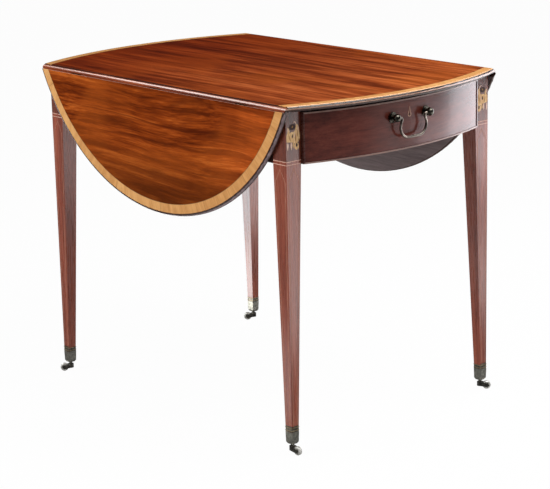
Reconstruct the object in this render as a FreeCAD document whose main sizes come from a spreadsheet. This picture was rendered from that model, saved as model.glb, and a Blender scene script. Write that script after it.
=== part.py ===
# Pembroke table: an oval top with two drop leaves on rule joints, wooden knuckle fly brackets,
# a dovetailed bow-front drawer, a matching dummy drawer at the back, and brass cup castors.
# X runs across the table from leaf to leaf, Y along the hinge lines with the drawer at -Y, Z up.
# The origin is on the floor under the middle of the top. Lengths are millimetres.
import FreeCAD
import Part
import math
import os
import re

SIZES = {
    # Top, leaves and rule joints
    "table_height": 715,
    "oval_length": 924,
    "oval_width": 1122,
    "bow_radius": 750,
    "hinge_line_spacing": 588,
    "board_thick": 11,
    "rule_quirk": 2.5,
    "rule_gap": 0.5,
    "edge_round": 4,
    "edge_nose": 6,
    "band_inset": 6.5,
    "band_inner_inset": 26.5,
    "band_thick": 1.2,
    # Back-flap hinges
    "hinge_plate_thick": 2,
    "hinge_width": 36,
    "hinge_offset": 272,
    "fixed_flap": 27,
    "moving_flap": 44,
    "hinge_knuckle_radius": 3,
    "hinge_pin_radius": 1.2,
    # Legs
    "leg_hinge_inset": 4,
    "leg_end_setback": 74,
    "leg_square": 38.5,
    "leg_foot": 18.5,
    "frieze_depth": 109,
    # Side rails and fly brackets
    "side_rail_thick": 16,
    "tenon_thick": 8,
    "tenon_length": 20,
    "tenon_shoulder": 14,
    "frieze_tenon_inset": 5,
    "fly_rail_thick": 16,
    "bracket_length": 170,
    "bracket_pivot_offset": 80,
    "bracket_end_gap": 3,
    "bracket_hollow_radius": 62,
    "knuckle_gap": 0.4,
    "bracket_pin_radius": 2.5,
    # Bowed ends
    "bow_inset": 24,
    "back_frieze_thick": 24,
    "bead_width": 3,
    "bead_proud": 1.5,
    "bead_depth": 5,
    # Drawer carcass
    "blade_thick": 10,
    "blade_depth": 32,
    "runner_width": 26,
    "kicker_thick": 10,
    "drawer_lip_depth": 4,
    "screw_radius": 2.2,
    "screw_head_radius": 4.2,
    "screw_head_depth": 3,
    "screw_bite": 7,
    # Drawer
    "drawer_front_thick": 20,
    "drawer_top_gap": 3,
    "drawer_side_gap": 1,
    "drawer_lift": 0.2,
    "drawer_stop_gap": 0.5,
    "drawer_back_gap": 65,
    "drawer_side_thick": 9,
    "drawer_headroom": 1,
    "drawer_back_thick": 10,
    "drawer_back_drop": 10,
    "drawer_bottom_thick": 6,
    "drawer_bottom_rise": 4,
    "groove_depth": 4,
    "lap_cover": 6,
    "tail_width": 14,
    "tail_flare": 3,
    "lock_width": 48,
    "lock_height": 44,
    "lock_depth": 9,
    # Handles and escutcheons
    "handle_drop": 33,
    "post_spacing": 94,
    "post_standoff": 13,
    "post_ball_radius": 8.5,
    "post_neck_radius": 4,
    "post_shank_radius": 3,
    "rosette_radius": 11,
    "rosette_thick": 2.5,
    "rosette_sink": 1,
    "nut_radius": 6,
    "nut_thick": 3.5,
    "bail_wire_radius": 2.7,
    "bail_pin_length": 9.2,
    "bail_end": 0.8,
    "bail_neck_radius": 5,
    "bail_swan_radius": 10.6,
    "bail_corner_radius": 22,
    "escutcheon_radius": 4.8,
    "escutcheon_point": 17.5,
    "escutcheon_sink": 1.2,
    "escutcheon_proud": 0.5,
    "keyhole_radius": 2,
    # Castors
    "castor_height": 22,
    "cup_height": 26,
    "cup_mouth": 19.6,
    "cup_waist": 18.2,
    "cup_base": 13.5,
    "cup_floor": 4,
    "foot_tenon": 13,
    "swivel_pin_radius": 2.5,
    "horn_neck_radius": 3.5,
    "horn_neck_length": 5,
    "horn_trail": 14.5,
    "horn_cheek": 2,
    "horn_root_height": 9,
    "horn_eye_radius": 4.2,
    "wheel_radius": 9,
    "wheel_width": 8,
    "wheel_bevel": 1.5,
    "wheel_dish_radius": 5.8,
    "wheel_dish_depth": 1.2,
    "wheel_side_gap": 0.6,
    "axle_radius": 2,
    "axle_head": 0.8,
    # Clearances and overruns
    "running_gap": 0.05,
    "end_play": 0.3,
    "cut_overrun": 2,
}

# Places and sizes that follow from the ones above. The oval is drawn from four centres: two bows
# of one radius at the ends and two tighter arcs, tangent to them, round the leaves.
PLACES = {
    "top_underside": "table_height - board_thick",
    "oval_x": "oval_width / 2",
    "oval_y": "oval_length / 2",
    "bow_centre": "bow_radius - oval_y",
    "oval_excess": "oval_x - oval_y",
    "leaf_centre": "oval_excess * (2 * bow_centre - oval_excess) / (2 * (bow_centre - oval_excess))",
    "hinge_x": "hinge_line_spacing / 2",
    "hinge_z": "top_underside + hinge_plate_thick / 2",
    "rule_radius": "board_thick - rule_quirk - hinge_plate_thick / 2",
    "leg_x": "hinge_x - leg_hinge_inset",
    "leg_y": "oval_y - leg_end_setback",
    "leg_in_x": "leg_x - leg_square",
    "leg_in_y": "leg_y - leg_square",
    "frieze_low": "top_underside - frieze_depth",
    "cup_high": "castor_height + cup_height",
    "cup_floor_high": "castor_height + cup_floor",
    "foot_x": "leg_x - leg_foot / 2",
    "foot_y": "leg_y - leg_foot / 2",
    "rail_split_x": "leg_in_x + side_rail_thick",
    "fly_out_x": "rail_split_x + fly_rail_thick",
    "pivot_x": "rail_split_x + fly_rail_thick / 2",
    "bracket_end_y": "bracket_length - bracket_pivot_offset",
    "finger_height": "frieze_depth / 5",
    "face_radius": "bow_radius - bow_inset",
    "face_y": "face_radius - bow_centre",
    "back_inner_radius": "face_radius - back_frieze_thick",
    "back_end_y": "sqrt(pow(back_inner_radius; 2) - pow(leg_in_x; 2)) - bow_centre",
    "front_inner_radius": "face_radius - drawer_front_thick",
    "blade_radius": "front_inner_radius - drawer_stop_gap",
    "blade_back_y": "leg_in_y - blade_depth / 2",
    "blade_low": "frieze_low + drawer_stop_gap",
    "blade_high": "blade_low + blade_thick",
    "kicker_low": "top_underside - kicker_thick",
    "runner_in_x": "leg_in_x - runner_width",
    "drawer_x": "leg_in_x - drawer_side_gap",
    "drawer_in_x": "drawer_x - drawer_side_thick",
    "drawer_low": "blade_high + drawer_lift",
    "drawer_high": "kicker_low - drawer_headroom",
    "lip_low": "top_underside - drawer_lip_depth",
    "front_high": "lip_low - drawer_top_gap",
    "drawer_back_y": "back_end_y - drawer_back_gap",
    "panel_low": "drawer_low + drawer_bottom_rise",
    "panel_high": "panel_low + drawer_bottom_thick",
    "tail_end_y": "sqrt(pow(face_radius; 2) - pow(drawer_x; 2)) - bow_centre - lap_cover",
    "tail_root_y": "sqrt(pow(front_inner_radius; 2) - pow(drawer_x; 2)) - bow_centre - cut_overrun",
    "handle_z": "front_high - handle_drop",
    "post_x": "post_spacing / 2",
    "seat_y": "sqrt(pow(face_radius; 2) - pow(post_x; 2)) - bow_centre",
    "bail_y": "seat_y + post_standoff",
    "slot_half": "wheel_width / 2 + wheel_side_gap",
    "horn_half": "slot_half + horn_cheek",
    "swivel_top": "castor_height - end_play",
    "horn_high": "swivel_top - horn_neck_length",
    "horn_low": "horn_high - horn_root_height",
}

SIDES = {"left": -1, "right": 1}
ENDS = {"front": -1, "back": 1}
HINGE_STATION_SHARES = (-1, 0, 1)
SCREW_STATION_SHARES = (-0.8, 0, 0.8)
TAIL_STATION_SHARES = (0.2, 0.5, 0.8)
FIXED_FINGERS = (0, 2, 4)
BRACKET_FINGERS = (1, 3)
BAIL_SWAN_TURN = math.radians(29.5)
LEAF_LEAN = 1.1
TRAIL_ANGLES = {
    ("front", "left"): -85,
    ("front", "right"): -41,
    ("back", "left"): 139,
    ("back", "right"): 139,
}

X_AXIS = FreeCAD.Vector(1, 0, 0)
Y_AXIS = FreeCAD.Vector(0, 1, 0)
Z_AXIS = FreeCAD.Vector(0, 0, 1)
UPRIGHT = FreeCAD.Rotation()
AXIS_TURNS = {
    "x": FreeCAD.Rotation(Y_AXIS, 90),
    "y": FreeCAD.Rotation(X_AXIS, -90),
    "z": UPRIGHT,
}
WEDGE_UP = FreeCAD.Rotation(X_AXIS, 90)
HANGING = FreeCAD.Rotation(Y_AXIS, 90 + LEAF_LEAN)
FACING = {-1: FreeCAD.Rotation(Z_AXIS, 180), 1: UPRIGHT}
NAMED = re.compile(r"\b[a-z]+(?:_[a-z]+)+\b")

doc = FreeCAD.newDocument("pembroke_table")
sizes = doc.addObject("Spreadsheet::Sheet", "Sizes")
places = doc.addObject("Spreadsheet::Sheet", "Places")
nodes = []


def fill_sheet(sheet, cells):
    """One aliased cell for each named value, with its name beside it."""
    for row, (alias, text) in enumerate(cells.items(), start=1):
        sheet.set(f"A{row}", alias)
        sheet.set(f"B{row}", text)
        sheet.setAlias(f"B{row}", alias)
    doc.recompute()


def qualified(expression, places_prefix="Places."):
    """The expression with each name written as a cell of its sheet."""
    def cell(found):
        name = found.group(0)
        prefix = "Sizes." if name in SIZES else places_prefix
        return prefix + name
    return NAMED.sub(cell, expression)


def bind(made, **bindings):
    for name, expression in bindings.items():
        made.setExpression(name, qualified(expression))
    return made


def place(made, x="0", y="0", z="0", turn=UPRIGHT):
    made.Placement = FreeCAD.Placement(FreeCAD.Vector(), turn)
    for axis, expression in zip("xyz", (x, y, z)):
        made.setExpression(f".Placement.Base.{axis}", qualified(expression))
    return made


def node(made, label):
    """Hand a finished piece over under its own label."""
    made.Label = label
    nodes.append(made)
    return made


def span(sign, near, far):
    """Range from near to far on the plus side, or its mirror image on the minus side."""
    if sign > 0:
        return near, far
    return f"-({far})", f"-({near})"


def about(half):
    return f"-({half})", half


def box(x, y, z):
    made = doc.addObject("Part::Box", "box")
    lengths = [f"({high}) - ({low})" for low, high in (x, y, z)]
    bind(made, Length=lengths[0], Width=lengths[1], Height=lengths[2])
    return place(made, x[0], y[0], z[0])


def cylinder(axis, radius, along, x="0", y="0", z="0"):
    """Cylinder whose axis passes through the given place and spans the range along it."""
    made = doc.addObject("Part::Cylinder", "cylinder")
    bind(made, Radius=radius, Height=f"({along[1]}) - ({along[0]})")
    start = {"x": x, "y": y, "z": z}
    start[axis] = along[0]
    return place(made, turn=AXIS_TURNS[axis], **start)


def cone(axis, first, last, along, x="0", y="0", z="0"):
    made = doc.addObject("Part::Cone", "cone")
    bind(made, Radius1=first, Radius2=last, Height=f"({along[1]}) - ({along[0]})")
    start = {"x": x, "y": y, "z": z}
    start[axis] = along[0]
    return place(made, turn=AXIS_TURNS[axis], **start)


def taper_up(z, low_x, low_y, high_x, high_y):
    """Four-sided block whose section changes from its low rectangle to its high one."""
    made = doc.addObject("Part::Wedge", "taper")
    bind(made, Ymin=z[0], Ymax=z[1], Xmin=low_x[0], Xmax=low_x[1], X2min=high_x[0], X2max=high_x[1])
    bind(made, Zmin=f"-({low_y[1]})", Zmax=f"-({low_y[0]})")
    bind(made, Z2min=f"-({high_y[1]})", Z2max=f"-({high_y[0]})")
    return place(made, turn=WEDGE_UP)


def fuse(*shapes):
    made = doc.addObject("Part::MultiFuse", "fuse")
    made.Shapes = list(shapes)
    made.Refine = True
    return made


def common(*shapes):
    made = doc.addObject("Part::MultiCommon", "common")
    made.Shapes = list(shapes)
    return made


def group(*shapes):
    made = doc.addObject("Part::Compound", "group")
    made.Links = list(shapes)
    return made


def cut(base, *tools):
    made = base
    for tool in tools:
        last, made = made, doc.addObject("Part::Cut", "cut")
        made.Base = last
        made.Tool = tool
    return made


def oval_outline(inset="0"):
    """Face of the four-centre oval, drawn in by the inset all round."""
    inset_length = sizes.get(inset) if inset in SIZES else 0
    bow, leaf = places.bow_centre, places.leaf_centre
    reach = math.hypot(bow, leaf)
    bow_radius = sizes.bow_radius - inset_length
    join_x = leaf / reach * bow_radius
    join_y = bow / reach * bow_radius - bow
    half_x, half_y = places.oval_x - inset_length, places.oval_y - inset_length
    turns = [(half_x, 0), (join_x, join_y), (0, half_y), (-join_x, join_y)]
    turns += [(-half_x, 0), (-join_x, -join_y), (0, -half_y), (join_x, -join_y)]
    points = [FreeCAD.Vector(x, y, 0) for x, y in turns]
    arcs = []
    for first in range(1, len(points), 2):
        corners = [points[(first + step) % len(points)] for step in range(3)]
        arcs.append(Part.Arc(*corners).toShape())
    made = doc.addObject("Part::Feature", "oval")
    made.Shape = Part.Face(Part.Wire(arcs))
    return made


def oval_slab(low, high, inset="0", centre_x="0"):
    made = doc.addObject("Part::Extrusion", "oval_slab")
    made.Base = place(oval_outline(inset), x=centre_x, z=low)
    made.DirMode = "Custom"
    made.Dir = Z_AXIS
    made.Solid = True
    return bind(made, LengthFwd=f"({high}) - ({low})")


def rounded(base, level, radius):
    """The slab with a fillet all along its edges at one level, low or high."""
    doc.recompute()
    bounds = base.Shape.BoundBox
    height = {"low": bounds.ZMin, "high": bounds.ZMax}[level]
    made = doc.addObject("Part::Fillet", "rounded")
    made.Base = base
    made.Edges = [(index, radius, radius) for index, edge in enumerate(base.Shape.Edges, start=1)
                  if max(abs(edge.BoundBox.ZMin - height), abs(edge.BoundBox.ZMax - height)) < sizes.end_play]
    return made


def eased(slab):
    """The slab with its lower edge rounded and its upper edge worked to a fuller nose."""
    return rounded(rounded(slab, "low", sizes.edge_round), "high", sizes.edge_nose)


def band_zone(top, centre_x="0"):
    """Where the crossbanding is let into the upper face, just inside the nose of the edge."""
    floor = f"{top} - band_thick"
    outer = oval_slab(floor, f"{top} + cut_overrun", "band_inset", centre_x)
    inner = oval_slab(f"{floor} - cut_overrun", f"{top} + 2 * cut_overrun", "band_inner_inset", centre_x)
    return cut(outer, inner)


def hinge_parts():
    """Hinge halves, pins and the recess they need, with the pins along the local Y axis."""
    made = {"fixed": [], "moving": [], "pins": [], "recess": [], "seat": []}
    half, third = "hinge_width / 2", "hinge_width / 6"
    thick = about("hinge_plate_thick / 2")
    clear = "hinge_knuckle_radius + end_play"
    for share in HINGE_STATION_SHARES:
        y = f"{share} * hinge_offset"
        whole = (f"{y} - {half}", f"{y} + {half}")
        middle = (f"{y} - {third}", f"{y} + {third}")
        bore = cylinder("y", "hinge_pin_radius + running_gap", whole)
        barrel = cylinder("y", "hinge_knuckle_radius", whole)
        around = about(f"{clear} + cut_overrun")
        fixed_plate = box(("-fixed_flap", "0"), whole, thick)
        fixed_gap = box((f"-({clear})", clear), middle, around)
        made["fixed"].append(cut(fuse(fixed_plate, barrel), fixed_gap, bore))
        moving_plate = box(("0", "moving_flap"), whole, thick)
        first_gap = box((f"-({clear})", clear), (whole[0], f"{middle[0]} + end_play"), around)
        last_gap = box((f"-({clear})", clear), (f"{middle[1]} - end_play", whole[1]), around)
        made["moving"].append(cut(fuse(moving_plate, barrel), first_gap, last_gap, bore))
        made["pins"].append(cylinder("y", "hinge_pin_radius", whole))
        well = cylinder("y", clear, whole)
        swing = box(("0", "rule_radius + cut_overrun"), whole, ("-rule_radius", f"{thick[1]} + end_play"))
        made["recess"].append(fuse(fixed_plate, well, swing))
        made["seat"].append(moving_plate)
    return made


def at_hinge(made, sign, turn=UPRIGHT):
    return place(made, f"{sign} * hinge_x", "0", "hinge_z", FACING[sign].multiply(turn))


def build_top():
    core = box(about("hinge_x"), about("oval_y"), ("top_underside", "table_height"))
    ovolos = [cylinder("y", "rule_radius", about("oval_y"), x=f"{sign} * hinge_x", z="hinge_z")
              for sign in SIDES.values()]
    slab = eased(oval_slab("top_underside", "table_height"))
    blank = common(slab, fuse(core, *ovolos))
    zone = band_zone("table_height")
    screws = top_screws()
    hinges = {sign: hinge_parts() for sign in SIDES.values()}
    recesses = [at_hinge(group(*hinges[sign]["recess"]), sign) for sign in hinges]
    node(cut(blank, zone, *recesses, screws), "top_board")
    node(common(blank, zone), "top_crossbanding")
    plates = [at_hinge(group(*hinges[sign]["fixed"]), sign) for sign in hinges]
    node(group(*plates), "top_hinge_plates")
    node(group(*[at_hinge(group(*hinges[sign]["pins"]), sign) for sign in hinges]), "hinge_pins")
    node(screws, "top_screws")
    return screws


def top_screws():
    """Countersunk screws up through the kickers into the underside of the top."""
    made = []
    for sign in SIDES.values():
        for share in SCREW_STATION_SHARES:
            x = f"{sign} * (leg_in_x - runner_width / 2)"
            y = f"{share} * leg_in_y"
            neck = "kicker_low + screw_head_depth"
            head = cone("z", "screw_head_radius", "screw_radius", ("kicker_low", neck), x=x, y=y)
            shank = cylinder("z", "screw_radius", (neck, "top_underside + screw_bite"), x=x, y=y)
            made.append(fuse(head, shank))
    return group(*made)


def build_leaf(side, sign):
    """A drop leaf, drawn open about its hinge line and then hung, leaning in towards the legs."""
    low, high = "-hinge_plate_thick / 2", "board_thick - hinge_plate_thick / 2"
    centre = "-hinge_x"
    reach = box(("rule_gap", "oval_x"), about("oval_y"), (low, high))
    cove = cylinder("y", "rule_radius + rule_gap", about("oval_y"))
    blank = cut(common(eased(oval_slab(low, high, centre_x=centre)), reach), cove)
    zone = band_zone(high, centre)
    hinges = hinge_parts()
    board = cut(blank, zone, *hinges["seat"])
    band = common(blank, zone)
    plates = group(*hinges["moving"])
    node(at_hinge(board, sign, HANGING), f"{side}_leaf")
    node(at_hinge(band, sign, HANGING), f"{side}_leaf_crossbanding")
    node(at_hinge(plates, sign, HANGING), f"{side}_leaf_hinge_plates")


def build_leg(end, side):
    """Square leg, tapered on its two inner faces below the frieze, with its mortises."""
    sy, sx = ENDS[end], SIDES[side]
    block_x, block_y = span(sx, "leg_in_x", "leg_x"), span(sy, "leg_in_y", "leg_y")
    foot_x, foot_y = span(sx, "leg_x - leg_foot", "leg_x"), span(sy, "leg_y - leg_foot", "leg_y")
    block = box(block_x, block_y, ("frieze_low", "top_underside"))
    shank = taper_up(("cup_high", "frieze_low"), foot_x, foot_y, block_x, block_y)
    tenon = box(span(sx, "foot_x - foot_tenon / 2", "foot_x + foot_tenon / 2"),
                span(sy, "foot_y - foot_tenon / 2", "foot_y + foot_tenon / 2"),
                ("cup_floor_high", "cup_high"))
    mortises = [side_tenon(sx)]
    if end == "front":
        mortises += [blade_tenon(), top_rail_tenon()]
    else:
        mortises.append(frieze_tenon())
    node(cut(fuse(block, shank, tenon), *mortises), f"{end}_{side}_leg")


def side_tenon(sign):
    cheek = "(side_rail_thick - tenon_thick) / 2"
    return box(span(sign, f"leg_in_x + {cheek}", f"rail_split_x - {cheek}"),
               about("leg_in_y + tenon_length"),
               ("frieze_low + tenon_shoulder", "top_underside - tenon_shoulder"))


def blade_tenon():
    middle = "-(leg_in_y + blade_depth / 4)"
    return box(about("leg_in_x + tenon_length"),
               (f"{middle} - tenon_thick / 2", f"{middle} + tenon_thick / 2"),
               ("blade_low", "blade_high"))


def top_rail_tenon():
    middle = "-(leg_in_y + blade_depth / 4)"
    return box(about("leg_in_x + tenon_length"),
               (f"{middle} - tenon_thick / 2", f"{middle} + tenon_thick / 2"),
               ("kicker_low", "top_underside"))


def frieze_tenon():
    start = "back_end_y + frieze_tenon_inset"
    return box(about("leg_in_x + tenon_length"), (start, f"{start} + tenon_thick"),
               ("frieze_low + tenon_shoulder", "top_underside - tenon_shoulder"))


def bow(sign, radius, low, high):
    """Solid cylinder whose face is the bow at one end of the table."""
    return cylinder("z", radius, (low, high), y=f"{-sign} * bow_centre")


def bowed_rail(low, high, tenon):
    """Rail between the front legs, its front edge bowed to follow the drawer front."""
    bed = box(about("leg_in_x"), ("-oval_y", "-blade_back_y"), (low, high))
    return fuse(common(bed, bow(-1, "blade_radius", low, high)), tenon)


def build_side(side, sign):
    """Side rail, and outside it the fly rail with the bracket that swings out under the leaf."""
    rail = box(span(sign, "leg_in_x", "rail_split_x"), about("leg_in_y"), ("frieze_low", "top_underside"))
    node(fuse(rail, side_tenon(sign)), f"{side}_side_rail")
    runner_x = span(sign, "runner_in_x", "leg_in_x")
    runner_y = ("-blade_back_y", "leg_in_y")
    node(box(runner_x, runner_y, ("blade_low", "blade_high")), f"{side}_drawer_runner")
    kicker = box(runner_x, runner_y, ("kicker_low", "top_underside"))
    build_fly_bracket(side, sign)
    return kicker


def build_fly_bracket(side, sign):
    pivot = {"x": f"{sign} * pivot_x", "y": "-bracket_pivot_offset"}
    height = ("frieze_low", "top_underside")
    thick = span(sign, "rail_split_x", "fly_out_x")
    round_end = cylinder("z", "fly_rail_thick / 2", height, **pivot)
    bore = cylinder("z", "bracket_pin_radius + running_gap", height, **pivot)

    def sockets(fingers):
        """Hollows round the pin, one for each finger of the other piece."""
        made = []
        for index in fingers:
            low = f"frieze_low + {index} * finger_height - knuckle_gap / 2"
            high = f"frieze_low + {index + 1} * finger_height + knuckle_gap / 2"
            made.append(cylinder("z", "fly_rail_thick / 2 + knuckle_gap", (low, high), **pivot))
        return group(*made)

    fixed = box(thick, ("-leg_in_y", "-bracket_pivot_offset"), height)
    far = box(thick, ("bracket_end_y + bracket_end_gap", "leg_in_y"), height)
    node(group(cut(fuse(fixed, round_end), sockets(BRACKET_FINGERS), bore), far), f"{side}_fly_rail")
    arm = box(thick, ("-bracket_pivot_offset", "bracket_end_y"),
              ("frieze_low + knuckle_gap", "top_underside - knuckle_gap"))
    hollow = cylinder("x", "bracket_hollow_radius", thick, y="bracket_end_y", z="frieze_low")
    swing_gap = box(span(sign, "rail_split_x - cut_overrun", "rail_split_x + knuckle_gap"),
                    ("-bracket_pivot_offset - fly_rail_thick", "bracket_end_y"), height)
    bracket = cut(fuse(arm, round_end), sockets(FIXED_FINGERS), bore, hollow, swing_gap)
    node(bracket, f"{side}_fly_bracket")


def bracket_pins():
    return group(*[cylinder("z", "bracket_pin_radius", ("frieze_low", "top_underside"),
                            x=f"{sign} * pivot_x", y="-bracket_pivot_offset")
                   for sign in SIDES.values()])


def bow_front(sign, half_x, inner_radius, low, high):
    """Bowed board across one end, from its face to the inner radius."""
    shell = cut(bow(sign, "face_radius", low, high), bow(sign, inner_radius, low, high))
    keep = box(about(half_x), span(sign, "0", "oval_y"), (low, high))
    return common(shell, keep)


def cock_bead(sign, half_x, low, high):
    """Raised bead let in round the edges of a bowed front."""
    shell = cut(bow(sign, "face_radius + bead_proud", low, high),
                bow(sign, "face_radius - bead_depth", low, high))
    keep = box(about(half_x), span(sign, "0", "oval_y"), (low, high))
    field = box(about(f"{half_x} - bead_width"), span(sign, "0", "oval_y"),
                (f"{low} + bead_width", f"{high} - bead_width"))
    return cut(common(shell, keep), field)


def handle_posts(sign, thick):
    """Two turned posts, each with a rosette, a ball bored for the bail and a shank to the nut."""
    made = []
    for post in SIDES.values():
        x = f"{post} * post_x"
        base = {"x": x, "z": "handle_z"}
        rosette = cylinder("y", "rosette_radius",
                           span(sign, "seat_y - rosette_sink", "seat_y + rosette_thick"), **base)
        neck = cylinder("y", "post_neck_radius", span(sign, "seat_y", "bail_y"), **base)
        shank = cylinder("y", "post_shank_radius",
                         span(sign, f"seat_y - {thick} - nut_thick", "seat_y"), **base)
        ball = bind(doc.addObject("Part::Sphere", "ball"), Radius="post_ball_radius")
        place(ball, x, f"{sign} * bail_y", "handle_z")
        bore = cylinder("x", "bail_wire_radius + running_gap",
                        (f"{x} - rosette_radius", f"{x} + rosette_radius"),
                        y=f"{sign} * bail_y", z="handle_z")
        made.append(cut(fuse(rosette, neck, shank, ball), bore))
    return group(*made)


def handle_nuts(sign, thick, front, posts):
    """Hexagonal nuts on the shanks, seated on the hollow inner face."""
    made = []
    for post in SIDES.values():
        nut = doc.addObject("Part::Prism", "nut")
        bind(nut, Circumradius="nut_radius", Height="nut_thick + cut_overrun")
        back = f"seat_y - {thick} - nut_thick" if sign > 0 else f"-(seat_y - {thick} + cut_overrun)"
        place(nut, f"{post} * post_x", back, "handle_z", AXIS_TURNS["y"])
        made.append(cut(nut, front, posts))
    return group(*made)


def bail_path():
    """Half turns of a swan-neck bail, from one post to the other, hanging from the local X axis."""
    neck, swan, corner = sizes.bail_neck_radius, sizes.bail_swan_radius, sizes.bail_corner_radius
    end = places.post_x + sizes.bail_end
    pin = places.post_x - sizes.bail_pin_length
    sine, cosine = math.sin(BAIL_SWAN_TURN), math.cos(BAIL_SWAN_TURN)
    half_sine, half_cosine = math.sin(BAIL_SWAN_TURN / 2), math.cos(BAIL_SWAN_TURN / 2)
    eighth = math.sqrt(0.5)
    waist = pin - neck
    hip_x, hip_z = waist + swan * (1 - cosine), -neck - swan * sine
    heart_x, heart_z = hip_x - corner * cosine, hip_z - corner * sine
    half = [
        (end, 0), (pin, 0),
        (pin - neck * eighth, -neck + neck * eighth), (waist, -neck),
        (waist + swan * (1 - half_cosine), -neck - swan * half_sine), (hip_x, hip_z),
        (heart_x + corner * math.sin(BAIL_SWAN_TURN / 2 + math.pi / 4),
         heart_z - corner * math.cos(BAIL_SWAN_TURN / 2 + math.pi / 4)), (heart_x, heart_z - corner),
    ]
    right = [FreeCAD.Vector(x, 0, z) for x, z in half]
    left = [FreeCAD.Vector(-x, 0, z) for x, z in half]
    edges = []
    for points in (right, left):
        strand = [Part.makeLine(points[0], points[1])]
        for first in (1, 3, 5):
            strand.append(Part.Arc(*points[first:first + 3]).toShape())
        edges.append(strand)
    foot = Part.makeLine(right[-1], left[-1])
    made = doc.addObject("Part::Feature", "bail_path")
    made.Shape = Part.Wire(edges[0] + [foot] + edges[1][::-1])
    return made


def bail(sign):
    path = bail_path()
    section = bind(doc.addObject("Part::Circle", "section"), Radius="bail_wire_radius")
    place(section, "post_x + bail_end", turn=AXIS_TURNS["x"])
    doc.recompute()
    made = doc.addObject("Part::Sweep", "bail")
    made.Sections = [section]
    made.Spine = (path, [f"Edge{index + 1}" for index in range(len(path.Shape.Edges))])
    made.Solid = True
    return place(made, "0", f"{sign} * bail_y", "handle_z")


def keyhole(sign, thick):
    through = span(sign, f"face_y - {thick}", "face_y + cut_overrun")
    return cylinder("y", "keyhole_radius", through, z="handle_z")


def escutcheon(sign):
    """Drop-shaped inlaid plate: a round end drawn up to a point."""
    deep = span(sign, "face_y - escutcheon_sink", "face_y + escutcheon_proud")
    lean = "escutcheon_radius / escutcheon_point"
    shoulder = f"escutcheon_radius * sqrt(1 - pow({lean}; 2))"
    tip = taper_up((f"handle_z + escutcheon_radius * {lean}", "handle_z + escutcheon_point"),
                   about(shoulder), deep, ("0", "0"), deep)
    disc = cylinder("y", "escutcheon_radius", deep, z="handle_z")
    return fuse(disc, tip)


def build_back():
    """Dummy drawer front across the back legs, with the same bead, handle and escutcheon."""
    low, high = "frieze_low", "top_underside"
    bead_high = "front_high"
    thick = "back_frieze_thick"
    blank = bow_front(1, "leg_in_x", "back_inner_radius", low, high)
    bead = cock_bead(1, "drawer_x", low, bead_high)
    posts = handle_posts(1, thick)
    plate = escutcheon(1)
    node(fuse(cut(blank, bead, posts, plate), frieze_tenon_shown()), "back_frieze")
    node(bead, "back_cock_bead")
    finish_handle("back", 1, thick, blank, posts, plate)


def frieze_tenon_shown():
    """The two stub tenons, without the stretch between the legs."""
    between = box(about("leg_in_x"), ("0", "oval_y"), ("frieze_low", "top_underside"))
    return cut(frieze_tenon(), between)


def finish_handle(prefix, sign, thick, blank, posts, plate):
    node(posts, f"{prefix}_handle_posts")
    node(handle_nuts(sign, thick, blank, posts), f"{prefix}_handle_nuts")
    node(cut(plate, keyhole(sign, thick)), f"{prefix}_escutcheon")
    node(bail(sign), f"{prefix}_handle")


def dovetails(sign):
    """Tails on the front end of a drawer side, wider towards their tips."""
    made = []
    for share in TAIL_STATION_SHARES:
        middle = f"drawer_low + {share} * (drawer_high - drawer_low)"
        tail = doc.addObject("Part::Wedge", "tail")
        x = span(sign, "drawer_in_x", "drawer_x")
        bind(tail, Ymin="-tail_end_y", Ymax="-tail_root_y", Xmin=x[0], Xmax=x[1], X2min=x[0], X2max=x[1])
        wide = "tail_width / 2 + tail_flare"
        bind(tail, Zmin=f"{middle} - ({wide})", Zmax=f"{middle} + {wide}")
        bind(tail, Z2min=f"{middle} - tail_width / 2", Z2max=f"{middle} + tail_width / 2")
        made.append(tail)
    return fuse(*made)


def build_drawer():
    thick = "drawer_front_thick"
    blank = bow_front(-1, "drawer_x", "front_inner_radius", "frieze_low", "front_high")
    bead = cock_bead(-1, "drawer_x", "frieze_low", "front_high")
    posts = handle_posts(-1, thick)
    plate = escutcheon(-1)
    groove_x = about("drawer_in_x + groove_depth")
    bed = box(groove_x, ("-oval_y", "drawer_back_y"), ("panel_low", "panel_high"))
    panel = common(bed, bow(-1, "front_inner_radius + groove_depth", "panel_low", "panel_high"))
    lock = box(about("lock_width / 2"),
               ("bow_centre - front_inner_radius - lock_depth", "bow_centre - front_inner_radius"),
               ("front_high - lock_height", "front_high"))
    lock = common(lock, blank)
    tails = {side: dovetails(sign) for side, sign in SIDES.items()}
    front = cut(blank, bead, lock, posts, plate, panel, keyhole(-1, thick), *tails.values())
    node(front, "drawer_front")
    node(bead, "drawer_cock_bead")
    for side, sign in SIDES.items():
        wall = box(span(sign, "drawer_in_x", "drawer_x"), ("-tail_end_y", "drawer_back_y"),
                   ("drawer_low", "drawer_high"))
        node(cut(fuse(cut(wall, blank), tails[side]), panel), f"drawer_{side}_side")
    node(box(about("drawer_in_x"), ("drawer_back_y - drawer_back_thick", "drawer_back_y"),
             ("panel_high", "drawer_high - drawer_back_drop")), "drawer_back")
    node(panel, "drawer_bottom")
    node(lock, "drawer_lock")
    finish_handle("drawer", -1, thick, blank, posts, plate)


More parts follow.
